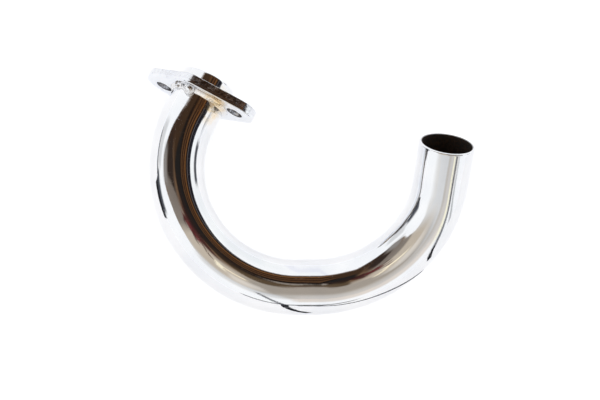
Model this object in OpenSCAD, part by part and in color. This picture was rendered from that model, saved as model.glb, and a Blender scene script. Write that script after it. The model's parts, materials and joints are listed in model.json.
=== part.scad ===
// Exhaust header pipe of a small engine: one tube bent twice in different planes,
// a two-bolt flange welded on just behind its inlet end, and a plain open outlet.
// Millimetres. The pipe lies on a table, +Z up, with the origin under the middle of its box.

/* [Tube] */
// Outside diameter of the tube
tube_od = 28; // [22:0.5:32]
// Wall thickness of the tube
tube_wall = 1.5; // [1:0.1:2]
// How far the tube stands out of the flange on the engine's side
nose_length = 6; // [4:0.5:10]
// Straight length between the flange and the first bend
inlet_straight = 10; // [8:0.5:20]
// Straight length between the two bends
mid_straight = 10; // [5:0.5:30]
// Straight length after the second bend, up to the open outlet
outlet_straight = 23; // [10:0.5:60]

/* [Bends] */
// Centreline radius of both bends
bend_radius = 58.5; // [50:0.5:70]
// Angle of the first bend, next to the flange
first_bend = 119; // [100:1:130]
// Angle of the second bend, next to the outlet
second_bend = 87; // [70:1:95]
// Twist of the tube between the planes of the two bends
bend_twist = 35; // [20:1:45]
// Direction of the first bend, turned from the line through the bolt holes
first_bend_turn = 28; // [0:1:60]
// How much the bends are drawn in on each face of the wall, against the straights
bend_draw = 0.05; // [0.02:0.01:0.2]

/* [Flange] */
// Thickness of the flange plate
flange_thickness = 5; // [4:0.5:8]
// Distance between the centres of the two bolt holes
bolt_spacing = 42; // [40:0.5:50]
// Diameter of each bolt hole
bolt_hole_d = 8.5; // [6.5:0.5:9]
// Radius of the rounded tips, each around a bolt hole
tip_radius = 10; // [8:0.5:12]
// Width of the flange across its waist
waist_width = 41; // [38:0.5:44]
// Radius of the blunt corners at the waist
waist_radius = 6; // [4:0.5:10]
// Clearance between the tube and the hole that it passes through, on the radius
tube_clearance = 0.1; // [0.05:0.05:0.3]

/* [Weld] */
// Leg of the fillet weld, along the tube and along the flange
weld_leg = 2.6; // [2:0.1:4]
// Radius of the round lump where the bead was stopped
stop_radius = 3.2; // [2.5:0.1:4]
// Place of that lump around the tube, from the line through the bolt holes
stop_turn = -88; // [-180:1:180]
// Radius of the small tack beside it
tack_radius = 2; // [1.5:0.1:3]
// Place of the tack around the tube, from the line through the bolt holes
tack_turn = -125; // [-180:1:180]

/* [Resting place] */
// Turn about X that lays the pipe on its flange's waist and its lowest bend
lay_x = -92.5; // [-95:0.1:-90]
// Turn about Y that lays the pipe down, made after the turn about X
lay_y = -23.6; // [-26:0.1:-21]
// Turn about Z on the table, made last
lay_z = -26.1; // [-180:0.1:180]

/* [Hidden] */
$fn = 96;
cut = 1; // how far a cutting tool runs past the face that it cuts
tube_r = tube_od / 2;
bore_r = tube_r - tube_wall;
nose_top = flange_thickness + nose_length;
inlet_run = nose_top + inlet_straight; // nose end to the first bend
bend_lap = 0.3; // degrees of a bend that lie inside each straight beside it
mid_lap = 0.2; // how far the middle straight runs on into each bend beside it
tip_x = bolt_spacing / 2;
waist_y = waist_width / 2 - waist_radius;

// The flange's four sides touch both a tip circle and a waist circle.
// side_lean is the angle between such a side and the line through the bolt holes.
side_lean = acos((tip_radius - waist_radius) / norm([tip_x, waist_y])) - atan2(tip_x, waist_y);
side_normal = [sin(side_lean), cos(side_lean)];
tip_touch = [tip_x, 0] + tip_radius * side_normal;
waist_touch = [0, waist_y] + waist_radius * side_normal;

// A frame along the tube is [place, x, y, z], where z points along the tube's run
// and x points to the inside of the next bend.
inlet_frame = [
    [0, 0, nose_top],
    [cos(first_bend_turn), sin(first_bend_turn), 0],
    [sin(first_bend_turn), -cos(first_bend_turn), 0],
    [0, 0, -1]
];
function on_straight(f, length) = [f[0] + length * f[3], f[1], f[2], f[3]];
function on_bend(f, r, a) = [
    f[0] + r * (1 - cos(a)) * f[1] + r * sin(a) * f[3],
    cos(a) * f[1] - sin(a) * f[3],
    f[2],
    sin(a) * f[1] + cos(a) * f[3]
];
function twisted(f, a) = [f[0], cos(a) * f[1] + sin(a) * f[2], cos(a) * f[2] - sin(a) * f[1], f[3]];
first_start = on_straight(inlet_frame, inlet_run);
first_end = on_bend(first_start, bend_radius, first_bend);
second_start = twisted(on_straight(first_end, mid_straight), bend_twist);
second_end = on_bend(second_start, bend_radius, second_bend);
outlet_frame = on_straight(second_end, outlet_straight);

// Cross-sections that the reach of the tube is measured on
bend_step = 0.5;
run_frames = concat(
    [inlet_frame],
    [for (a = [0 : bend_step : first_bend]) on_bend(first_start, bend_radius, a)],
    [for (a = [0 : bend_step : second_bend]) on_bend(second_start, bend_radius, a)],
    [outlet_frame]
);
// Circles of the flange's outline, each [x, y, radius]
rim_circles = [
    [tip_x, 0, tip_radius],
    [-tip_x, 0, tip_radius],
    [0, waist_y, waist_radius],
    [0, -waist_y, waist_radius]
];

function turned_x(p, a) = [p[0], cos(a) * p[1] - sin(a) * p[2], sin(a) * p[1] + cos(a) * p[2]];
function turned_y(p, a) = [cos(a) * p[0] + sin(a) * p[2], p[1], cos(a) * p[2] - sin(a) * p[0]];
function turned_z(p, a) = [cos(a) * p[0] - sin(a) * p[1], sin(a) * p[0] + cos(a) * p[1], p[2]];
function laid(p) = turned_z(turned_y(turned_x(p, lay_x), lay_y), lay_z);

// How far a disc reaches along row axis k, for its centre p, axis n and radius r
function disc_reach(p, n, r, k, side) = side * laid(p)[k] + r * sqrt(max(0, 1 - pow(laid(n)[k], 2)));
function tube_reach(k, side) = max([for (f = run_frames) disc_reach(f[0], f[3], tube_r, k, side)]);
function flange_reach(k, side) = max([
    for (c = rim_circles, z = [0, flange_thickness])
        disc_reach([c[0], c[1], z], [0, 0, 1], c[2], k, side)
]);
function reach(k, side) = max(tube_reach(k, side), flange_reach(k, side));
row_origin = [
    (reach(0, 1) - reach(0, -1)) / 2,
    (reach(1, 1) - reach(1, -1)) / 2,
    -reach(2, -1)
];

// Takes children drawn in the flange's frame (z = 0 on the flange's pipe side, +Z out of
// the engine's side, X through the bolt holes) to where the pipe lies.
module lying() {
    translate(-row_origin) rotate([lay_x, lay_y, lay_z]) children();
}

// A straight length of tube along +Z
module straight_tube(length) {
    difference() {
        cylinder(r = tube_r, h = length);
        translate([0, 0, -cut]) cylinder(r = bore_r, h = length + 2 * cut);
    }
}

// A bent length of tube that starts along +Z and turns towards +X. Both ends run a little
// way into the wall of the straights beside them.
module bent_tube(angle) {
    translate([bend_radius, 0, 0])
        rotate([90, 0, 0])
            rotate([0, 0, 180 - angle - bend_lap])
                rotate_extrude(angle = angle + 2 * bend_lap)
                    translate([bend_radius, 0])
                        difference() {
                            circle(r = tube_r - bend_draw);
                            circle(r = bore_r + bend_draw);
                        }
}

// Moves children to the end of such a bend, and turns them with it
module past_bend(angle) {
    translate([bend_radius * (1 - cos(angle)), 0, bend_radius * sin(angle)])
        rotate([0, angle, 0])
            children();
}

// The fillet's solid with the tube's hole in it, on the flange's pipe side
module weld_ring() {
    rotate_extrude()
        polygon([[tube_r, 0], [tube_r + weld_leg, 0], [tube_r, -weld_leg]]);
}

// A lump of weld metal in the corner between the tube and the flange
module weld_lump(radius, turn, seat) {
    difference() {
        rotate([0, 0, turn]) translate([tube_r + seat, 0, -seat]) sphere(r = radius);
        translate([-tube_od, -tube_od, 0]) cube([2 * tube_od, 2 * tube_od, tube_od]);
        translate([0, 0, -tube_od]) cylinder(r = tube_r, h = tube_od + cut);
        rotate_extrude()
            polygon([[tube_r - cut, cut], [tube_r + weld_leg + cut, cut],
                     [tube_r + weld_leg, 0], [tube_r, -weld_leg], [tube_r - cut, -weld_leg]]);
    }
}

module header_tube() {
    color([0.86, 0.88, 0.9])
        lying()
            translate([0, 0, nose_top])
                rotate([180, 0, first_bend_turn]) {
                    straight_tube(inlet_run);
                    translate([0, 0, inlet_run]) {
                        bent_tube(first_bend);
                        past_bend(first_bend) {
                            translate([0, 0, -mid_lap]) straight_tube(mid_straight + 2 * mid_lap);
                            translate([0, 0, mid_straight])
                                rotate([0, 0, bend_twist]) {
                                    bent_tube(second_bend);
                                    past_bend(second_bend) straight_tube(outlet_straight);
                                }
                        }
                    }
                }
}

module flange_plate() {
    color([0.8, 0.82, 0.86])
        lying()
            difference() {
                linear_extrude(flange_thickness) {
                    polygon([
                        tip_touch, waist_touch,
                        [-waist_touch[0], waist_touch[1]], [-tip_touch[0], tip_touch[1]],
                        -tip_touch, -waist_touch,
                        [waist_touch[0], -waist_touch[1]], [tip_touch[0], -tip_touch[1]]
                    ]);
                    for (c = rim_circles) translate([c[0], c[1]]) circle(r = c[2]);
                }
                translate([0, 0, -cut])
                    cylinder(r = tube_r + tube_clearance, h = flange_thickness + 2 * cut);
                for (side = [-1, 1])
                    translate([side * tip_x, 0, -cut])
                        cylinder(d = bolt_hole_d, h = flange_thickness + 2 * cut);
            }
}

module fillet_weld() {
    color([0.7, 0.71, 0.73]) lying() weld_ring();
}

module weld_stop() {
    color([0.7, 0.71, 0.73]) lying() weld_lump(stop_radius, stop_turn, 1.6);
}

module weld_tack() {
    color([0.7, 0.71, 0.73]) lying() weld_lump(tack_radius, tack_turn, 1.4);
}

header_tube();
flange_plate();
fillet_weld();
weld_stop();
weld_tack();
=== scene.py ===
"""Looks of a chrome-plated exhaust header pipe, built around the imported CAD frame.

The pipe lies on a pale surface. Every piece is built in the flange's own frame (millimetres,
z = 0 on the flange's pipe side, +z towards the engine, x through the bolt holes) and is then
placed by one matrix that comes from the flange's mount in the record.
"""

import json
import math

import bpy
import numpy as np
from mathutils import Euler, Matrix, Vector, geometry, noise


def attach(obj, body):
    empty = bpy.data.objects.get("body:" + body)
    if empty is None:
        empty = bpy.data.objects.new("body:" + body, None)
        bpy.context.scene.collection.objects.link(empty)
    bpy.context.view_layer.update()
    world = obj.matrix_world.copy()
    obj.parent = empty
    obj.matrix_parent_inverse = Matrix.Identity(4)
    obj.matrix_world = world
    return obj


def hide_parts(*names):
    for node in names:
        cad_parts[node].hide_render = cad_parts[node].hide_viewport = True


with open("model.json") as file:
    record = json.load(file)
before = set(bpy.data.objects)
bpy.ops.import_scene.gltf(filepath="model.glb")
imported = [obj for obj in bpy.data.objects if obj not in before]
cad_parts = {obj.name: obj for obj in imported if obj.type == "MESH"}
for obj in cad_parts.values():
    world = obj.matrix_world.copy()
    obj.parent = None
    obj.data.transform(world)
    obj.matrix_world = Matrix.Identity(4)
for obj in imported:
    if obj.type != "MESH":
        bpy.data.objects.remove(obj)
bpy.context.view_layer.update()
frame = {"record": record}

# ---------------------------------------------------------------- driving sizes, millimetres
MM = 0.001
TUBE_R = 14.0
WALL = 1.5
NOSE = 6.0
INLET_STRAIGHT = 10.0
MID_STRAIGHT = 10.0
OUTLET_STRAIGHT = 23.0
BEND_R = 58.5
FIRST_BEND = 119.0
SECOND_BEND = 87.0
BEND_TWIST = 35.0
FIRST_TURN = 28.0
FLANGE_T = 5.0
BOLT_SPACING = 42.0
BOLT_HOLE_R = 4.25
TIP_R = 10.0
WAIST_R = 6.0
WAIST_HALF = 20.5
TUBE_HOLE_R = 14.1
LAY = (-92.5, -23.6, -26.1)  # how the pipe lies on the surface, degrees about X, Y, Z

RUN_STEP = 1.0  # spacing of the tube's cross-sections, mm on a straight and degrees on a bend
AROUND = 128  # points round each cross-section
BEND_FLATTENING = 0.35  # how far the outside of a bend is pulled in
WAVE_DEPTH, WAVE_SPACING = 0.02, 9.0  # faint waves along the tube, spacing for each radian
WAVE_SKEW = 1.5  # how far the waves run ahead round the tube, in radians
RIM_STEPS = 6
RIM_SOFTNESS = 0.6  # rounding of the tube's cut ends, 1 is a full half circle
SOOT_START = 0.9  # how far into the wall's thickness the soot starts

TIP_POINTS, WAIST_POINTS, SIDE_POINTS = 40, 20, 24  # on each arc and side of the flange's outline
TUBE_HOLE_POINTS, BOLT_HOLE_POINTS = 160, 72
BEVEL_STEPS, TEAR_STEPS = 6, 8  # up the rolled and the torn part of a punched edge
EDGE_LINES = (0.35, 0.9)  # places beside an edge, on the flat, that keep its shading crisp
SHEAR_SHARE = 0.34  # how much of a punched edge is smooth before it tears
TEAR_DEPTH = 0.10  # depth of the torn band on punched edges
PAINTED_SHADE_IN_HOLES = 0.65  # share of painted shade on the walls of the bolt holes

WELD_LEG = 2.6
BEAD_LEG, BEAD_WANDER = 0.80, 0.06  # the looks' leg as a share of the weld's, and its unevenness
BEAD_RIPPLES = 68  # ripples round the whole bead
RIPPLE_LEAN, RIPPLE_WANDER = 2.6, 1.2  # degrees that a ripple's ends trail, and its unevenness
BEAD_CROWN, RIPPLE_HEIGHT = 0.12, 0.06
BEAD_SINK = 0.15  # how far the bead runs into the tube and the flange
STOP_TURN = -88.0  # place of the stop lump round the tube, degrees from the bolt line
STOP_R, STOP_SEAT, STOP_SQUASH = 3.0, 1.45, 0.86
TACK_TURN = -123.0
TACK_R, TACK_SEAT, TACK_SQUASH = 1.6, 1.0, 0.8

HOT_TURN = -32.0  # where the weld was hottest, round the tube from the bolt line
HOT_OUT, HOT_DEPTH = 15.5, 2.0  # the hot spot's distance from the tube's axis and from the flange
TINT_FULL, TINT_GONE = 4.0, 12.0  # reach of the straw tint from the hot spot

# ---------------------------------------------------------------- the studio, metres
DOME_R = 1.7
FLOOR_HALF = 3.0
FLOOR_GLOW = 0.60
STRAP_HEIGHT = 0.0006
LAMP_WATTS = 5.0
LAMP_SIZE = 1.8
LAMP_PLACE = (0.2, 0.3, 1.5)
LENS, SENSOR_WIDTH = 120.0, 36.0  # millimetres
EYE_PLACE = (-0.09853, -0.19537, 0.99962)
EYE_TURN = (10.930, -5.577, 0.009)  # degrees

BODY = "root"

mounts = {m["name"]: m for m in frame["record"]["mounts"]}
FLANGE_TO_ROW = (
    Matrix.Translation(Vector(mounts["flange_bolts"]["pos_m"]))
    @ Euler([math.radians(a) for a in LAY], "XYZ").to_matrix().to_4x4()
    @ Matrix.Translation(Vector((0, 0, -FLANGE_T * MM)))
)


def turned(angle):
    """The direction at an angle in degrees from the bolt line, in the flange's plane."""
    a = math.radians(angle)
    return np.array([math.cos(a), math.sin(a), 0.0])


DOWN = np.array([0.0, 0.0, -1.0])  # away from the engine
HOT_SPOT = HOT_OUT * turned(HOT_TURN) + HOT_DEPTH * DOWN


def smooth(edge0, edge1, x):
    """A smooth step from 0 at edge0 to 1 at edge1, for numbers and arrays."""
    t = np.clip((np.asarray(x, float) - edge0) / (edge1 - edge0), 0, 1)
    return t * t * (3 - 2 * t)


# ---------------------------------------------------------------- mesh helpers
def shown(name, data):
    """A new object for a mesh, lamp or camera, linked to the scene."""
    made = bpy.data.objects.new(name, data)
    bpy.context.scene.collection.objects.link(made)
    return made


def make_mesh(name, verts, faces, material):
    mesh = bpy.data.meshes.new(name)
    mesh.from_pydata([tuple(float(c) for c in v) for v in verts], [], faces)
    mesh.materials.append(material)
    return mesh


def make_piece(name, verts, faces, material):
    """A smooth mesh object from millimetre points in the flange's frame, placed in the row frame."""
    mesh = make_mesh(name, verts, faces, material)
    mesh.transform(FLANGE_TO_ROW @ Matrix.Scale(MM, 4))
    mesh.validate()
    for polygon in mesh.polygons:
        polygon.use_smooth = True
    return shown(name, mesh)


def mark_points(piece, name, values):
    """Stores one number per point under a name that the materials read."""
    mark = piece.data.attributes.new(name, "FLOAT", "POINT")
    mark.data.foreach_set("value", values)


def loft(rings, closed=True):
    """Faces between successive rings of equal count; closed joins the last ring to the first."""
    count = len(rings[0])
    verts = [p for ring in rings for p in ring]
    faces = []
    steps = len(rings) if closed else len(rings) - 1
    for i in range(steps):
        a = i * count
        b = ((i + 1) % len(rings)) * count
        for j in range(count):
            k = (j + 1) % count
            faces.append((a + j, a + k, b + k, b + j))
    return verts, faces


# ---------------------------------------------------------------- the run of the tube
def tube_run():
    """The tube's centreline as [(place, x, y, tangent, length so far, bend share)].

    x points to the inside of the bend that the cross-section is in or next to. The bend share
    is 0 on a straight and 1 in the middle of a bend, and says how far the section is flattened.
    """
    place = np.array([0.0, 0.0, FLANGE_T + NOSE])
    x, y, t = turned(FIRST_TURN), turned(FIRST_TURN - 90), DOWN
    stations = []
    gone = 0.0

    def straight(length):
        nonlocal place, gone
        count = int(round(length / RUN_STEP))
        for i in range(count):
            d = length * i / count
            stations.append((place + d * t, x, y, t, gone + d, 0.0))
        place = place + length * t
        gone += length

    def bend(angle):
        nonlocal place, x, t, gone
        count = int(round(angle / RUN_STEP))
        centre = place + BEND_R * x
        for i in range(count):
            a = math.radians(angle * i / count)
            xa = math.cos(a) * x - math.sin(a) * t
            ta = math.sin(a) * x + math.cos(a) * t
            share = math.sin(math.pi * i / count) ** 0.5
            stations.append((centre - BEND_R * xa, xa, y, ta, gone + BEND_R * a, share))
        a = math.radians(angle)
        x, t = math.cos(a) * x - math.sin(a) * t, math.sin(a) * x + math.cos(a) * t
        place = centre - BEND_R * x
        gone += BEND_R * a

    straight(FLANGE_T + NOSE + INLET_STRAIGHT)
    bend(FIRST_BEND)
    straight(MID_STRAIGHT)
    a = math.radians(BEND_TWIST)
    x, y = math.cos(a) * x + math.sin(a) * y, math.cos(a) * y - math.sin(a) * x
    bend(SECOND_BEND)
    straight(OUTLET_STRAIGHT)
    stations.append((place, x, y, t, gone, 0.0))
    return stations


def carried_axes(stations):
    """One steady pair of side axes along the run, so the mesh's rows don't jump at the twist."""
    across = stations[0][1]
    axes = []
    for _, _, _, tangent, _, _ in stations:
        across = across - np.dot(across, tangent) * tangent
        across = across / np.linalg.norm(across)
        axes.append((across, np.cross(tangent, across)))
    return axes


RUN = tube_run()
AXES = carried_axes(RUN)


def run_point(station, axes, angle, radius):
    """A point on the tube's wall: angle is counted from the carried side axis, in radians.

    A bent tube is a little flat along the outside of its bend, and its wall is faintly wavy.
    """
    place, x, _, _, gone, share = station
    across, up = axes
    out = math.cos(angle) * across + math.sin(angle) * up
    outward = max(0.0, -float(np.dot(out, x)))
    wave = 0.5 + 0.5 * math.sin(gone / WAVE_SPACING + WAVE_SKEW * math.sin(2 * angle))
    radius -= BEND_FLATTENING * share * outward ** 3 + WAVE_DEPTH * wave
    return place + radius * out


def rim_profile(wall):
    """Steps (along, radius) round a deburred end, from the outside to the inside of the wall."""
    steps = []
    for k in range(RIM_STEPS + 1):
        a = math.pi * k / RIM_STEPS
        steps.append((wall / 2 * (1 - math.sin(a)) * RIM_SOFTNESS,
                      TUBE_R - wall / 2 * (1 - math.cos(a))))
    return steps


def tube_skin():
    """The tube's outside, both rims and its bore, as one closed skin.

    The point attribute soot is 1 inside the tube and 0 outside.
    """
    rings, soot = [], []
    angles = [2 * math.pi * j / AROUND for j in range(AROUND)]
    bore = TUBE_R - WALL

    def add(index, radius, slide=0.0):
        """A ring at a station, slid along the tube by slide, with the soot for its radius."""
        tangent = RUN[index][3]
        rings.append([run_point(RUN[index], AXES[index], a, radius) + slide * tangent for a in angles])
        soot.append(smooth(TUBE_R - SOOT_START, bore, radius))

    last = len(RUN) - 1
    for i in range(1, last):
        add(i, TUBE_R)
    for along, radius in rim_profile(WALL):
        add(last, radius, -along)
    for i in range(last - 1, 0, -1):
        add(i, bore)
    for along, radius in reversed(rim_profile(WALL)):
        add(0, radius, along)
    verts, faces = loft(rings)
    piece = make_piece("tube_skin", verts, faces, chrome_tube())
    mark_points(piece, "soot", np.repeat(np.array(soot, dtype=np.float32), AROUND))
    return piece


# ---------------------------------------------------------------- the flange
def arc(centre, radius, start, end, count):
    """Points of an arc with their outward normals, degrees, without its last point."""
    found = []
    for i in range(count):
        a = math.radians(start + (end - start) * i / count)
        n = np.array([math.cos(a), math.sin(a)])
        found.append((np.array(centre) + radius * n, n))
    return found


def side(previous, following, count):
    """Points along the straight between two arcs, which share its normal, without its last point."""
    (p, n), (q, _) = previous, following
    return [(p + (q - p) * i / count, n) for i in range(count)]


def flange_outline():
    """The rhombic outline as [(point, normal)], anticlockwise: two round tips and two blunt waists."""
    tip_x, waist_y = BOLT_SPACING / 2, WAIST_HALF - WAIST_R
    lean = math.acos((TIP_R - WAIST_R) / math.hypot(tip_x, waist_y)) - math.atan2(tip_x, waist_y)
    n = 90 - math.degrees(lean)
    corners = [
        ((tip_x, 0), TIP_R, -n, n, TIP_POINTS),
        ((0, waist_y), WAIST_R, n, 180 - n, WAIST_POINTS),
        ((-tip_x, 0), TIP_R, 180 - n, 180 + n, TIP_POINTS),
        ((0, -waist_y), WAIST_R, 180 + n, 360 - n, WAIST_POINTS),
    ]
    outline = []
    for i, (centre, radius, start, end, count) in enumerate(corners):
        outline += arc(centre, radius, start, end, count)
        last = arc(centre, radius, end, end + 1, 1)[0]
        next_centre, next_radius, next_start, _, _ = corners[(i + 1) % len(corners)]
        first = arc(next_centre, next_radius, next_start, next_start + 1, 1)[0]
        outline += side(last, first, SIDE_POINTS)
    return outline


def hole_outline(centre, radius, count):
    """A round hole's edge, clockwise, with normals that point into the hole."""
    return [(p, -n) for p, n in arc(centre, radius, 360, 0, count)]


def edge_profile(top, roll, burr, sheared=0.0):
    """(inset, z, roughness share) up an edge that was punched from the pipe side.

    The edge rolls over at z = 0, runs smooth for a third of its height, then tears back by
    sheared up to the top, where a small burr was rubbed off.
    """
    near, far = EDGE_LINES
    profile = [(roll + far, 0.0, 0.0), (roll + near, 0.0, 0.0)]
    for k in range(BEVEL_STEPS + 1):
        a = math.pi / 2 * k / BEVEL_STEPS
        profile.append((roll * (1 - math.sin(a)), roll * (1 - math.cos(a)), 0.0))
    smooth_top = top * SHEAR_SHARE
    profile += [(0.0, smooth_top * 0.8, 0.0), (0.01, smooth_top, 0.3)]
    for k in range(1, TEAR_STEPS + 1):
        share = k / TEAR_STEPS
        profile.append((sheared * share, smooth_top + (top - burr - smooth_top) * share, 1.0))
    inset = sheared + burr
    profile += [(sheared + burr * 0.3, top - burr * 0.3, 0.2), (inset, top, 0.0)]
    profile += [(inset + near, top, 0.0), (inset + far, top, 0.0)]
    return profile


def torn(point, z):
    """Depth of the torn part of a punched edge, which is streaked along the punch's travel."""
    streak = noise.noise(Vector((point[0] * 1.7, point[1] * 1.7, z * 0.35)))
    grain = noise.noise(Vector((point[0] * 4.1, point[1] * 4.1, z * 2.3 + 7)))
    return TEAR_DEPTH * (0.5 + 0.5 * streak) + TEAR_DEPTH * 0.4 * (0.5 + 0.5 * grain)


def edge_band(edge, profile):
    """Rings of points up a punched edge, and how rough each point is."""
    rings, roughness = [], []
    for inset, z, rough in profile:
        ring = []
        for p, n in edge:
            q = p - (inset + rough * torn(p, z)) * n
            ring.append((q[0], q[1], z))
        rings.append(ring)
        roughness += [rough] * len(edge)
    return rings, roughness


def flat_face(verts, loops, up):
    """Triangles between the flange's outline and its holes, whose normals point up (1) or down (-1)."""
    flat = [i for loop in loops for i in loop]
    lines = [[Vector((verts[i][0], verts[i][1], 0)) for i in loop] for loop in loops]
    triangles = []
    for corners in geometry.tessellate_polygon(lines):
        a, b, c = (flat[i] for i in corners)
        turn = ((verts[b][0] - verts[a][0]) * (verts[c][1] - verts[a][1])
                - (verts[b][1] - verts[a][1]) * (verts[c][0] - verts[a][0]))
        triangles.append((a, b, c) if turn * up > 0 else (a, c, b))
    return triangles


def painted_shade_share(point, rough):
    """Painted shade: darker inside the bolt holes and on the torn part of one long side of the outline.
    """
    x, y, z = point
    if math.hypot(abs(x) - BOLT_SPACING / 2, y) < BOLT_HOLE_R + 0.3 and 0 < z < FLANGE_T:
        return PAINTED_SHADE_IN_HOLES
    return rough * float(smooth(0.0, 4.0, x) * smooth(2.0, 5.0, -y) * (1 - smooth(24.0, 28.0, x)))


def flange_plate():
    """The plate: an edge band for its outline and each hole, closed by two flat faces.

    The point attributes are torn, for the torn part of its edges, and the share of painted shade in the
    bolt holes and along one side.
    """
    tip_x = BOLT_SPACING / 2
    bands = [
        (flange_outline(), edge_profile(FLANGE_T, roll=0.55, burr=0.25, sheared=0.12)),
        (hole_outline((0, 0), TUBE_HOLE_R, TUBE_HOLE_POINTS),
         edge_profile(FLANGE_T, roll=0.3, burr=0.3)),
    ]
    for x in (tip_x, -tip_x):
        bands.append((hole_outline((x, 0), BOLT_HOLE_R, BOLT_HOLE_POINTS),
                      edge_profile(FLANGE_T, roll=0.15, burr=0.15, sheared=0.06)))
    verts, faces, low_loops, high_loops, torn_share = [], [], [], [], []
    for edge, profile in bands:
        rings, roughness = edge_band(edge, profile)
        torn_share += roughness
        start, count = len(verts), len(edge)
        more, made = loft(rings, closed=False)
        verts += more
        faces += [tuple(start + i for i in f) for f in made]
        low_loops.append(list(range(start, start + count)))
        high_loops.append(list(range(len(verts) - count, len(verts))))
    faces += flat_face(verts, low_loops, -1) + flat_face(verts, high_loops, 1)
    piece = make_piece("flange_blank", verts, faces, chrome_flange())
    mark_points(piece, "torn", torn_share)
    # the share of painted shade, one number per point
    mark_points(piece, "painted_shade", [painted_shade_share(v, rough) for v, rough in zip(verts, torn_share)])
    return piece


# ---------------------------------------------------------------- the weld
def fillet_bead():
    """The bead on the flange's pipe side: stacked crescent ripples that lean along the bead."""
    steps, across = 640, 11
    pitch = 360 / BEAD_RIPPLES
    rings = []
    for i in range(steps):
        turn = 360 * i / steps
        out = turned(turn)
        wander = noise.noise(Vector((3 * out[0], 3 * out[1], 4.0)))
        leg = WELD_LEG * (BEAD_LEG + BEAD_WANDER * wander)
        ring = [TUBE_R * out + leg * DOWN]
        for k in range(1, across):
            v = k / across
            trail = RIPPLE_LEAN * (2 * v - 1) ** 2 + RIPPLE_WANDER * wander
            phase = ((turn + trail) / pitch) % 1.0
            ripple = RIPPLE_HEIGHT * (1 - (2 * phase - 1) ** 2)
            crown = (BEAD_CROWN + ripple) * math.sin(math.pi * v) * math.sqrt(0.5)
            ring.append((TUBE_R + leg * v + crown) * out + (leg * (1 - v) + crown) * DOWN)
        ring.append((TUBE_R + leg) * out)
        ring.append((TUBE_R + leg * 0.5) * out - BEAD_SINK * DOWN)
        ring.append((TUBE_R - BEAD_SINK) * out - BEAD_SINK * DOWN)
        ring.append((TUBE_R - BEAD_SINK) * out + leg * 0.5 * DOWN)
        rings.append(ring)
    verts, faces = loft(rings)
    return make_piece("fillet_bead", verts, faces, weld_metal("weld_bead"))


def lump(name, turn, radius, seat, squash, bumps):
    """A drop of weld metal in the corner, on an axis half way between the tube and the flange.

    bumps(p, w) adds to the radius, for p from 0 at the crown to 1 at the far pole and w around.
    """
    out, tangent = turned(turn), turned(turn + 90)
    axis = (out + DOWN) / math.sqrt(2)
    across = np.cross(axis, tangent)
    centre = (TUBE_R + seat) * out + seat * DOWN
    rows, columns = 44, 72
    verts = [centre + axis * (radius * squash + bumps(0.0, 0.0))]
    for i in range(1, rows):
        p = i / rows
        b = math.pi * p
        for j in range(columns):
            w = 2 * math.pi * j / columns
            grown = radius + bumps(p, w)
            verts.append(centre + grown * (squash * math.cos(b) * axis
                         + math.sin(b) * (math.cos(w) * tangent + math.sin(w) * across)))
    verts.append(centre - axis * radius * squash)
    faces = [(0, 1 + j, 1 + (j + 1) % columns) for j in range(columns)]
    for i in range(rows - 2):
        a0, b0 = 1 + i * columns, 1 + (i + 1) * columns
        for j in range(columns):
            k = (j + 1) % columns
            faces.append((a0 + j, b0 + j, b0 + k, a0 + k))
    end, a0 = len(verts) - 1, 1 + (rows - 2) * columns
    faces += [(a0 + j, end, a0 + (j + 1) % columns) for j in range(columns)]
    return make_piece(name, verts, faces, weld_metal(name + "_metal"))


def stop_lump():
    """The lump where the bead was stopped: frozen rings round a crater that opens to one side."""
    def bumps(p, w):
        crater = -0.45 * (1 - smooth(0.0, 0.16, p))
        ring = 0.16 * math.cos(2 * math.pi * p / 0.085) * (1 - smooth(0.28, 0.42, p))
        opening = 0.5 + 0.5 * math.cos(w - 0.9)
        return float(crater * (0.6 + 0.4 * opening) + ring * (0.35 + 0.65 * (1 - opening)))

    return lump("stop_lump", STOP_TURN, STOP_R, STOP_SEAT, STOP_SQUASH, bumps)


def tack_lump():
    """The small tack: three lobes run together."""
    def bumps(p, w):
        lobes = 0.35 * math.cos(3 * w + 0.6) * math.sin(math.pi * p) ** 2
        return lobes + 0.08 * math.sin(9 * p + 2 * w)

    return lump("tack_lump", TACK_TURN, TACK_R, TACK_SEAT, TACK_SQUASH, bumps)


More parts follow.
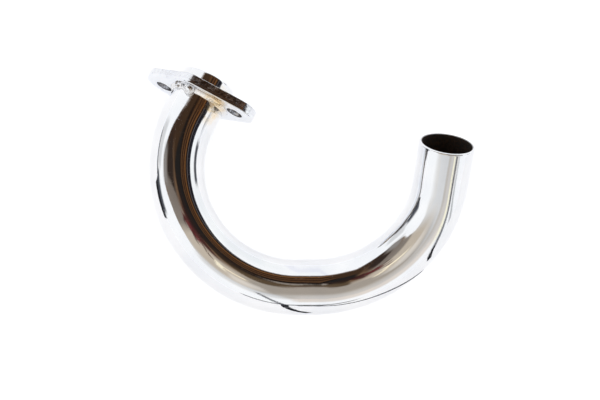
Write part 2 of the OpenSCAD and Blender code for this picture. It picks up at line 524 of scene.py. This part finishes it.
# ---------------------------------------------------------------- materials
class Nodes:
    """A material's node tree, with short calls for the nodes that the finishes share."""

    def __init__(self, name):
        self.material = bpy.data.materials.new(name)
        self.material.use_nodes = True
        self.tree = self.material.node_tree
        self.shader = self.tree.nodes["Principled BSDF"]
        self.place = self.add("ShaderNodeTexCoord").outputs["Object"]

    def add(self, kind, **settings):
        node = self.tree.nodes.new(kind)
        for key, value in settings.items():
            setattr(node, key, value)
        return node

    def link(self, source, target):
        self.tree.links.new(source, target)

    def noise(self, scale, detail=2.0, stretch=(1, 1, 1), turn=(0, 0, 0), roughness=0.5):
        mapping = self.add("ShaderNodeMapping")
        mapping.inputs["Scale"].default_value = stretch
        mapping.inputs["Rotation"].default_value = [math.radians(a) for a in turn]
        self.link(self.place, mapping.inputs["Vector"])
        texture = self.add("ShaderNodeTexNoise")
        texture.inputs["Scale"].default_value = scale
        texture.inputs["Detail"].default_value = detail
        texture.inputs["Roughness"].default_value = roughness
        self.link(mapping.outputs["Vector"], texture.inputs["Vector"])
        return texture.outputs["Fac"]

    def attribute(self, name):
        return self.add("ShaderNodeAttribute", attribute_name=name).outputs["Fac"]

    def straw(self, least, most):
        """The uneven heat tint of the weld: least to most at the hot spot, and 0 away from it."""
        away = self.add("ShaderNodeVectorMath", operation="DISTANCE")
        away.inputs[1].default_value = FLANGE_TO_ROW @ (Vector(HOT_SPOT) * MM)
        self.link(self.place, away.inputs[0])
        near = self.ranged(away.outputs["Value"], TINT_FULL * MM, TINT_GONE * MM, 1.0, 0.0)
        patchy = self.ranged(self.noise(300, 3.0), 0.35, 0.6, least, most)
        return self.maths("MULTIPLY", near, patchy)

    def ranged(self, value, low, high, to_low=0.0, to_high=1.0):
        """The value carried from the range low to high over to the range to_low to to_high."""
        node = self.add("ShaderNodeMapRange")
        limits = {"From Min": low, "From Max": high, "To Min": to_low, "To Max": to_high}
        for key, number in limits.items():
            node.inputs[key].default_value = number
        self.link(value, node.inputs["Value"])
        return node.outputs["Result"]

    def maths(self, operation, a, b):
        node = self.add("ShaderNodeMath", operation=operation)
        for socket, value in zip(node.inputs, (a, b)):
            if isinstance(value, (int, float)):
                socket.default_value = value
            else:
                self.link(value, socket)
        return node.outputs["Value"]

    def colours(self, share, first, second):
        """A mix of two colours, each an (r, g, b) or the output of another mix."""
        node = self.add("ShaderNodeMix", data_type="RGBA")
        self.link(share, node.inputs["Factor"])
        for socket, value in ((node.inputs[6], first), (node.inputs[7], second)):
            if isinstance(value, tuple):
                socket.default_value = (*value, 1.0)
            else:
                self.link(value, socket)
        return node.outputs[2]

    def bump(self, height, distance, under=None):
        node = self.add("ShaderNodeBump")
        node.inputs["Strength"].default_value = 1.0
        node.inputs["Distance"].default_value = distance
        self.link(height, node.inputs["Height"])
        if under is not None:
            self.link(under, node.inputs["Normal"])
        return node.outputs["Normal"]

    def finish(self, colour, rough, normal, metallic=1.0):
        self.link(colour, self.shader.inputs["Base Color"])
        self.link(rough, self.shader.inputs["Roughness"])
        self.link(normal, self.shader.inputs["Normal"])
        if isinstance(metallic, float):
            self.shader.inputs["Metallic"].default_value = metallic
        else:
            self.link(metallic, self.shader.inputs["Metallic"])
        return self.material


CHROME = (0.845, 0.85, 0.86)
CHROME_DULL = (0.78, 0.795, 0.82)
FLANGE_CHROME = (0.83, 0.85, 0.88)
FLANGE_DULL = (0.76, 0.78, 0.82)
PIT = (0.40, 0.38, 0.38)
TORN_GRIT = (0.45, 0.43, 0.45)
# colour of the painted shade in the bolt holes and along one side of the flange
PAINTED_SHADE = (0.22, 0.20, 0.19)
WELD_CHROME = (0.82, 0.82, 0.83)
WELD_DULL = (0.70, 0.70, 0.71)
WELD_SPECK = (0.34, 0.25, 0.16)
SOOT = (0.014, 0.010, 0.008)
RUST = (0.060, 0.028, 0.012)
STRAW = (0.80, 0.62, 0.38)


def hairlines(n):
    """Fine wiping scratches in three directions, 0 where the plating is clean and 1 on a scratch."""
    total = None
    for turn in ((10, 20, 35), (70, -15, 110), (-35, 50, 75)):
        line = n.ranged(n.noise(260, 1.0, (0.18, 9.0, 9.0), turn), 0.66, 0.74)
        total = line if total is None else n.maths("MAXIMUM", total, line)
    return total


def chrome_tube():
    """Bright chrome with a faint ripple and wiping scratches outside, baked soot inside."""
    n = Nodes("tube_chrome_plate")
    clouds = n.noise(55, 3.0)
    scratch = hairlines(n)
    soot = n.attribute("soot")
    heat = n.straw(0.2, 1.0)
    plate = n.colours(n.ranged(clouds, 0.35, 0.65), CHROME, CHROME_DULL)
    plate = n.colours(heat, plate, STRAW)
    crust = n.noise(700, 5.0, roughness=0.65)
    inside = n.colours(n.ranged(crust, 0.45, 0.75), SOOT, RUST)
    colour = n.colours(soot, plate, inside)
    polish = n.ranged(n.noise(180, 4.0), 0.3, 0.7, 0.035, 0.075)
    plate_rough = n.maths("ADD", polish, n.maths("MULTIPLY", scratch, 0.10))
    plate_rough = n.maths("ADD", plate_rough, n.maths("MULTIPLY", heat, 0.12))
    crust_rough = n.ranged(crust, 0.3, 0.7, 0.62, 0.9)
    rough = n.maths("MAXIMUM", plate_rough, n.maths("MULTIPLY", soot, crust_rough))
    ripple = n.bump(n.noise(70, 1.0), 0.00003)
    peel = n.bump(n.noise(950, 2.0), 0.000004, n.bump(n.noise(330, 1.0), 0.000006, ripple))
    scratched = n.bump(scratch, -0.0000008, peel)
    crusted = n.bump(n.maths("MULTIPLY", crust, soot), 0.0003, scratched)
    return n.finish(colour, rough, crusted, n.ranged(soot, 0.0, 1.0, 1.0, 0.25))


def chrome_flange():
    """Chrome over a blanked plate: flat faces with rolled grain, coarser than the tube."""
    n = Nodes("flange_chrome_plate")
    clouds = n.noise(90, 4.0)
    scratch = hairlines(n)
    pits = n.ranged(n.noise(900, 3.0), 0.62, 0.72)
    colour = n.colours(n.ranged(clouds, 0.35, 0.65), FLANGE_CHROME, FLANGE_DULL)
    colour = n.colours(n.maths("MULTIPLY", pits, 0.3), colour, PIT)
    torn_band = n.attribute("torn")
    grit = n.ranged(n.noise(500, 5.0), 0.36, 0.56)
    # painted shade: the plate is darkened in the bolt holes and on the torn part of one long side
    painted_shade = n.maths("MULTIPLY", n.attribute("painted_shade"), grit)
    torn_grit = n.maths("MULTIPLY", torn_band, n.maths("MULTIPLY", grit, 0.18))
    colour = n.colours(torn_grit, colour, TORN_GRIT)
    # mixes in the painted shade
    colour = n.colours(painted_shade, colour, PAINTED_SHADE)
    colour = n.colours(n.straw(0.05, 0.65), colour, STRAW)
    polish = n.ranged(n.noise(240, 4.0), 0.3, 0.7, 0.08, 0.18)
    rough = n.maths("ADD", polish, n.maths("MULTIPLY", scratch, 0.12))
    rough = n.maths("ADD", rough, n.maths("MULTIPLY", torn_band, 0.08))
    wave = n.bump(n.noise(130, 2.0), 0.00003)
    grain = n.bump(n.noise(1400, 3.0), 0.000006, wave)
    pitted = n.bump(pits, -0.00001, grain)
    jagged = n.bump(n.maths("MULTIPLY", torn_band, n.noise(300, 5.0)), 0.00016, pitted)
    return n.finish(colour, rough, jagged)


def weld_metal(name):
    """Plated weld metal: duller and rougher than the tube, with brown specks in the hollows."""
    n = Nodes(name)
    grit = n.noise(900, 5.0, roughness=0.6)
    stain = n.ranged(n.noise(330, 4.0), 0.52, 0.66)
    colour = n.colours(n.ranged(grit, 0.35, 0.65), WELD_CHROME, WELD_DULL)
    colour = n.colours(n.maths("MULTIPLY", stain, 0.18), colour, WELD_SPECK)
    colour = n.colours(n.straw(0.4, 1.0), colour, STRAW)
    rough = n.ranged(grit, 0.3, 0.7, 0.09, 0.20)
    lumps = n.bump(n.noise(420, 2.0), 0.00004)
    return n.finish(colour, rough, n.bump(grit, 0.000006, lumps))


# ---------------------------------------------------------------- the object
def place_on_body(piece, slot, *nodes):
    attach(piece, BODY)
    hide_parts(*nodes)


place_on_body(tube_skin(), "tube_chrome", "header_tube")
place_on_body(flange_plate(), "flange_chrome", "flange_plate")
place_on_body(fillet_bead(), "weld_metal", "fillet_weld")
place_on_body(stop_lump(), "weld_metal", "weld_stop")
place_on_body(tack_lump(), "weld_metal", "weld_tack")


# ---------------------------------------------------------------- the light of the studio
def linear(red, green, blue):
    """Scene-linear light from the 0 to 255 steps of a screen colour."""
    def one(c):
        c /= 255
        return c / 12.92 if c <= 0.04045 else ((c + 0.055) / 1.055) ** 2.4
    return np.array([one(red), one(green), one(blue)])


def blend(light, share, colour):
    """The light with a share of it, by direction, changed to a screen colour."""
    share = np.asarray(share)[..., None]
    return light * (1 - share) + linear(*colour) * share


class Directions:
    """Soft masks, from 0 to 1, over a grid of directions given by azimuth and elevation in degrees."""

    def __init__(self, azimuth, elevation):
        self.azimuth = azimuth
        self.elevation = elevation

    def plain(self, colour):
        return np.broadcast_to(linear(*colour), self.azimuth.shape + (3,)).copy()

    def off(self, azimuth):
        return np.abs((self.azimuth - azimuth + 180) % 360 - 180)

    def around(self, centre, half_width, softness):
        """1 within half_width of centre round the horizon, falling to 0 over softness."""
        return 1 - smooth(half_width, half_width + softness, self.off(centre))

    def above(self, start, soft):
        return smooth(start - soft, start + soft, self.elevation)

    def below(self, end, soft):
        return 1 - self.above(end, soft)

    def band(self, start, end, soft):
        return self.above(start, soft) * self.below(end, soft)

    def seam(self, start, end, width):
        """A line between two (azimuth, elevation) places."""
        (a0, e0), (a1, e1) = start, end
        along = a0 + (a1 - a0) * (self.elevation - e0) / (e1 - e0)
        line = 1 - smooth(0.4 * width, width, self.off(along))
        return line * self.band(min(e0, e1), max(e0, e1), 1.5)


# the tent's upper edge, (azimuth, elevation) in degrees round the horizon
TENT_EDGE = (
    (0, 33), (20, 34), (36, 38), (48, 44), (58, 48), (80, 51), (105, 53), (118, 55),
    (126, 50), (134, 46), (145, 39), (156, 34), (162, 31), (178, 33), (190, 41), (208, 42),
    (225, 35), (242, 33), (286, 31), (305, 20), (330, 18), (348, 28), (360, 33),
)


def tent_light(d):
    """White cloth, a little greyer where it hangs in shade."""
    light = d.plain((250, 251, 252))
    light = blend(light, 0.5 * d.around(40, 22, 16) * d.band(-10, 30, 10), (236, 240, 240))
    light = blend(light, 0.6 * d.around(77, 1.5, 1.5), (232, 233, 243))
    light = blend(light, 0.9 * d.around(258, 30, 12) * d.above(27, 6), (217, 215, 212))
    return blend(light, 0.8 * d.around(292, 8, 6) * d.band(16, 36, 4), (218, 206, 194))


def wall_light(d):
    """The room's brown and beige walls, down to where the tent hides them."""
    light = d.plain((112, 88, 68))
    light = blend(light, d.around(85, 45, 20), (62, 45, 32))
    light = blend(light, d.around(140, 14, 12) * d.below(62, 6), (60, 43, 32))
    light = blend(light, d.around(242, 46, 22) * d.below(78, 8), (192, 180, 164))
    light = blend(light, d.around(305, 34, 12) * d.below(74, 6), (162, 153, 142))
    light = blend(light, d.around(265, 50, 20) * d.below(40, 7), (217, 218, 219))
    light = blend(light, d.around(298, 14, 10) * d.below(46, 8), (186, 179, 170))
    light = blend(light, d.around(318, 26, 14) * d.below(40, 8), (206, 202, 198))
    light = blend(light, d.around(18, 26, 20) * d.below(49, 3), (34, 34, 42))
    light = blend(light, 0.9 * d.around(184, 14, 12) * d.band(38, 74, 8), (124, 115, 107))
    light = blend(light, d.around(157, 10, 7) * d.band(46, 72, 6), (50, 40, 35))
    return blend(light, 0.5 * d.around(260, 9, 7) * d.band(44, 58, 5), (238, 232, 224))


def wooden_slats(d, light):
    """Thin warm streaks on near black, which a bend draws out along the tube."""
    wood = d.around(28, 40, 26) * d.band(43, 82, 3)
    light = blend(light, wood, (26, 19, 16))
    slats = (
        (46.5, 1.2, (96, 92, 94)),
        (55.5, 2.4, (116, 78, 46)),
        (63.0, 1.6, (98, 66, 42)),
        (69.0, 1.6, (94, 66, 44)),
        (76.0, 1.4, (56, 42, 34)),
    )
    bow = 1.5 * np.sin(np.radians(d.azimuth * 2.5))
    for elevation, width, colour in slats:
        light = blend(light, wood * np.exp(-((d.elevation - elevation - bow) / width) ** 2), colour)
    return light


def ceiling(d, light):
    """The dark ceiling, with dark red things in front of it."""
    light = blend(light, d.around(82, 40, 16) * d.above(74, 2), (34, 32, 31))
    light = blend(light, d.around(90, 95, 20) * d.above(81, 3), (42, 32, 29))
    light = blend(light, 0.9 * d.around(303, 10, 8) * d.band(72, 82, 4), (84, 70, 54))
    light = blend(light, 0.9 * d.around(320, 28, 14) * d.above(73, 2), (88, 72, 54))
    light = blend(light, 0.9 * d.around(350, 30, 20) * d.above(82, 3), (52, 40, 31))
    light = blend(light, 0.9 * d.around(205, 38, 20) * d.above(78, 3), (64, 33, 33))
    light = blend(light, 0.9 * d.around(203, 13, 7) * d.band(70, 80, 2), (96, 22, 32))
    for azimuth in (200, 218, 234):
        streak = d.seam((azimuth, 64), (azimuth - 16, 80), 4.0)
        light = blend(light, 0.8 * streak, (66, 34, 32))
    return light


def room_lamps(d, light):
    """Small warm highlights high in the room."""
    light = blend(light, 0.9 * d.around(241, 2.5, 3) * d.band(55, 68, 4), (255, 244, 216))
    light = blend(light, 0.8 * d.around(254, 11, 4) * d.band(63, 66.5, 1.0), (250, 236, 208))
    return blend(light, 0.8 * d.around(2, 10, 6) * d.band(74.5, 77.5, 1.0), (150, 140, 130))


def tent_trim(d, edge, light):
    """The tent's hem, a pole, a bright slit, and the dark gaps and seams in its sides."""
    hem = np.exp(-((d.elevation - edge - 1.6) / 1.2) ** 2) * d.around(90, 34, 10)
    light = blend(light, 0.7 * hem, (160, 145, 136))
    light = blend(light, 0.75 * d.around(166, 7, 8) * d.band(30, 44, 6), (146, 144, 142))
    light = blend(light, 0.9 * d.seam((299, 34), (306, 12), 3.0), (255, 250, 222))
    light = blend(light, 0.95 * d.around(12, 8, 4) * d.band(3, 16, 3), (44, 46, 56))
    light = blend(light, 0.95 * d.around(182, 10, 3) * d.below(10, 4), (44, 48, 60))
    light = blend(light, 0.5 * d.around(158, 9, 6) * d.band(3, 20, 4), (164, 164, 166))
    light = blend(light, 0.95 * d.around(163, 9, 6) * d.band(-2, 4, 1.4), (50, 52, 62))
    light = blend(light, 0.85 * d.around(271, 18, 3) * d.band(-2, 3.6, 1.0), (52, 54, 60))
    light = blend(light, 0.95 * d.seam((263, 32), (274.5, -1), 2.4), (70, 72, 78))
    light = blend(light, 0.9 * d.seam((305, 42), (312, -1), 2.8), (70, 72, 78))
    return blend(light, 0.6 * d.seam((315, 18), (321, -1), 2.0), (70, 72, 78))


def surroundings(azimuth, elevation):
    """Light by direction: a white tent up to about 45 degrees, and the dark room above it."""
    d = Directions(azimuth, elevation)
    room = room_lamps(d, ceiling(d, wooden_slats(d, wall_light(d))))
    edge = np.interp(azimuth, [a for a, _ in TENT_EDGE], [e for _, e in TENT_EDGE])
    past_edge = smooth(edge - 0.9, edge + 0.9, elevation)[..., None]
    tent = tent_light(d)
    return tent_trim(d, edge, tent + (room - tent) * past_edge)


# ---------------------------------------------------------------- the stage
def glow_material(name, attribute):
    """A material that shines with a colour stored in the mesh."""
    material = bpy.data.materials.new(name)
    material.use_nodes = True
    tree = material.node_tree
    tree.nodes.clear()
    colour = tree.nodes.new("ShaderNodeAttribute")
    colour.attribute_name = attribute
    emit = tree.nodes.new("ShaderNodeEmission")
    output = tree.nodes.new("ShaderNodeOutputMaterial")
    tree.links.new(colour.outputs["Color"], emit.inputs["Color"])
    tree.links.new(emit.outputs["Emission"], output.inputs["Surface"])
    return material


def matt_material(name, colour):
    material = bpy.data.materials.new(name)
    material.use_nodes = True
    shader = material.node_tree.nodes["Principled BSDF"]
    shader.inputs["Base Color"].default_value = (*colour, 1)
    shader.inputs["Roughness"].default_value = 0.9
    shader.inputs["Specular IOR Level"].default_value = 0.0
    return material


def dome():
    """The tent and the room above it, seen only in reflections."""
    steps = [
        np.arange(-12, -2, 1.0),
        np.arange(-2, 2, 0.2),
        np.arange(2, 28, 1.0),
        np.arange(28, 86, 0.25),
        np.arange(86, 90.1, 0.5),
    ]
    azimuth, elevation = np.meshgrid(np.arange(0, 360, 1.2), np.concatenate(steps))
    az, el = np.radians(azimuth), np.radians(elevation)
    points = DOME_R * np.stack([np.cos(el) * np.cos(az), np.cos(el) * np.sin(az), np.sin(el)], axis=-1)
    verts, faces = loft([list(map(tuple, row)) for row in points], closed=False)
    mesh = make_mesh("surroundings", verts, faces, glow_material("surroundings_light", "light"))
    # the chrome takes some of the light away, so the dome is that much brighter
    colours = surroundings(azimuth, elevation) / CHROME[1]
    opaque = np.ones(azimuth.shape + (1,))
    layer = mesh.color_attributes.new("light", "FLOAT_COLOR", "POINT")
    layer.data.foreach_set("color", np.concatenate([colours, opaque], axis=-1).astype(np.float32).ravel())
    shell = shown("surroundings", mesh)
    shell.visible_camera = False
    shell.visible_shadow = False
    return shell


def floor():
    """A plain white surface that glows a little, as a back-lit table does."""
    half = FLOOR_HALF
    white = matt_material("floor_white", (0.74, 0.75, 0.77))
    shader = white.node_tree.nodes["Principled BSDF"]
    shader.inputs["Emission Color"].default_value = (0.97, 0.98, 1.0, 1)
    shader.inputs["Emission Strength"].default_value = FLOOR_GLOW
    corners = [(-half, -half, 0), (half, -half, 0), (half, half, 0), (-half, half, 0)]
    return shown("floor", make_mesh("floor", corners, [(0, 1, 2, 3)], white))


def soft_light():
    """One large lamp over the table. It lights the floor, and doesn't show in the chrome."""
    lamp = bpy.data.lights.new("soft_light", "AREA")
    lamp.shape, lamp.size = "DISK", LAMP_SIZE
    lamp.energy = LAMP_WATTS
    made = shown("soft_light", lamp)
    made.location = LAMP_PLACE
    made.rotation_euler = (-Vector(LAMP_PLACE)).to_track_quat("-Z", "Y").to_euler()
    made.visible_camera = False
    made.visible_glossy = False


def strap_route(start, azimuth, reach, swing=0.0, swing_reach=1.0):
    """Places on the table from start outwards to reach, in metres, each farther by one factor.

    The azimuth swings by up to swing degrees on the way, and by half of it at swing_reach.
    """
    factor, count = 1.7, 10
    places = [start]
    for i in range(count):
        distance = reach / factor ** (count - 1 - i)
        a = math.radians(azimuth + swing * distance / (distance + swing_reach))
        places.append((start[0] + distance * math.cos(a), start[1] + distance * math.sin(a)))
    return places


def floor_strap(name, route, start_half, spread):
    """A dark strap on the table that only shows in the chrome.

    Half its width is start_half at its start, and grows by spread for each metre from there.
    """
    verts, faces = [], []
    for i, (x, y) in enumerate(route):
        before, after = route[max(i - 1, 0)], route[min(i + 1, len(route) - 1)]
        along = Vector((after[0] - before[0], after[1] - before[1])).normalized()
        half = start_half + spread * math.dist(route[0], (x, y))
        verts.append((x - along.y * half, y + along.x * half, STRAP_HEIGHT))
        verts.append((x + along.y * half, y - along.x * half, STRAP_HEIGHT))
        if i:
            faces.append((2 * i - 2, 2 * i - 1, 2 * i + 1, 2 * i))
    dark = matt_material(name + "_dark", (0.035, 0.037, 0.045))
    strap = shown(name, make_mesh(name, verts, faces, dark))
    strap.visible_camera = False
    strap.visible_diffuse = False
    strap.visible_shadow = False
    return strap


floor()
dome()
floor_strap("strap_front", strap_route((0.005, -0.076), 240, 1.6, 35, 0.03), 0.0022, 0.036)
floor_strap("strap_side", strap_route((-0.19, -0.02), 185, 1.6), 0.028, 0.20)
floor_strap("strap_right", strap_route((0.070, -0.046), 261, 1.1, 22, 0.35), 0.0020, 0.042)
floor_strap("strap_outlet", strap_route((0.105, -0.075), 311, 1.6), 0.0028, 0.028)
soft_light()

world = bpy.data.worlds.new("white_room")
world.use_nodes = True
world.node_tree.nodes["Background"].inputs["Color"].default_value = (1, 1, 1, 1)
world.node_tree.nodes["Background"].inputs["Strength"].default_value = 1.0
bpy.context.scene.world = world
bpy.context.scene.view_settings.view_transform = "Standard"

# ---------------------------------------------------------------- the camera
camera = bpy.data.cameras.new("camera")
camera.lens, camera.sensor_width = LENS, SENSOR_WIDTH
camera.clip_start, camera.clip_end = 0.05, 10.0
eye = shown("camera", camera)
eye.location = EYE_PLACE
eye.rotation_euler = [math.radians(a) for a in EYE_TURN]
bpy.context.scene.camera = eye
